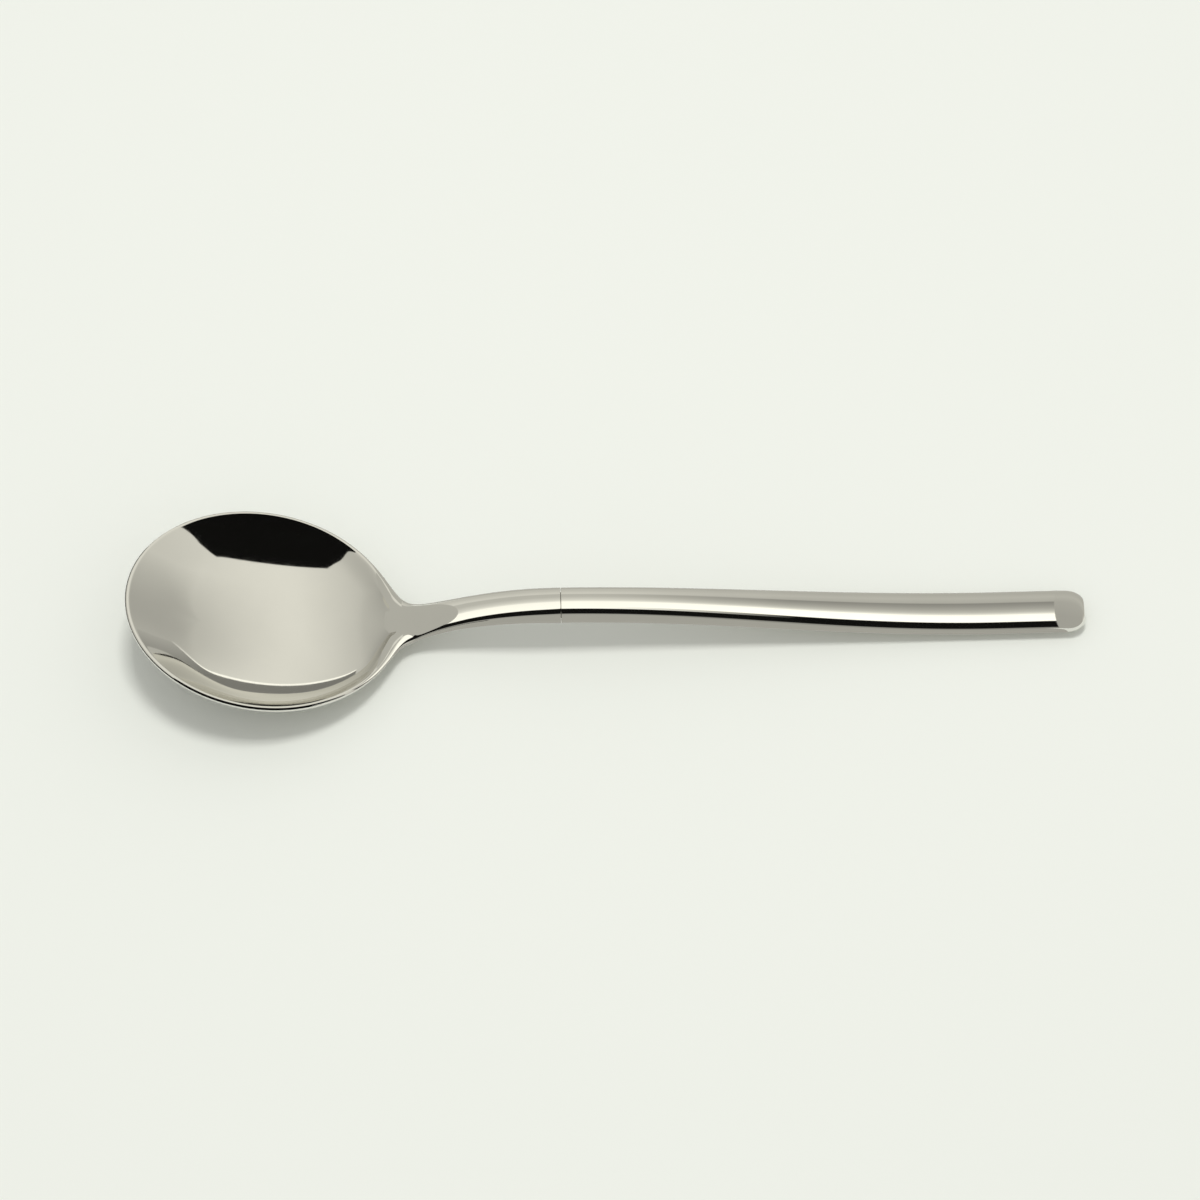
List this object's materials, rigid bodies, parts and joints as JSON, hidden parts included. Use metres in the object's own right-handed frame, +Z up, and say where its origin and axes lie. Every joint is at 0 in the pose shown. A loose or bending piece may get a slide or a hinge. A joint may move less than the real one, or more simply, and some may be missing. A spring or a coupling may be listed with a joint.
{
  "type": "soup spoon",
  "caption": "Mirror-polished soup spoon: an oval bowl and arched neck forged as a solid head, set by a cemented tang into a slim hollow handle with a rounded end.",
  "frame": {"origin": "on the table, under the middle of the spoon's length and width", "axes": "+X from the bowl's tip to the handle's end, +Y across the spoon, +Z up"},
  "size_m": [0.1901, 0.045, 0.0175],
  "materials": {
    "head_steel": "mirror polished",
    "handle_steel": "mirror polished",
    "plate_steel": "as rolled",
    "cement": "rough"
  },
  "bodies": {
    "root": {"bowl_and_neck": "head_steel", "handle_upper_shell": "handle_steel", "handle_lower_shell": "handle_steel", "handle_mouth_plate": "plate_steel", "tang_cement": "cement"}
  },
  "joints": []
}
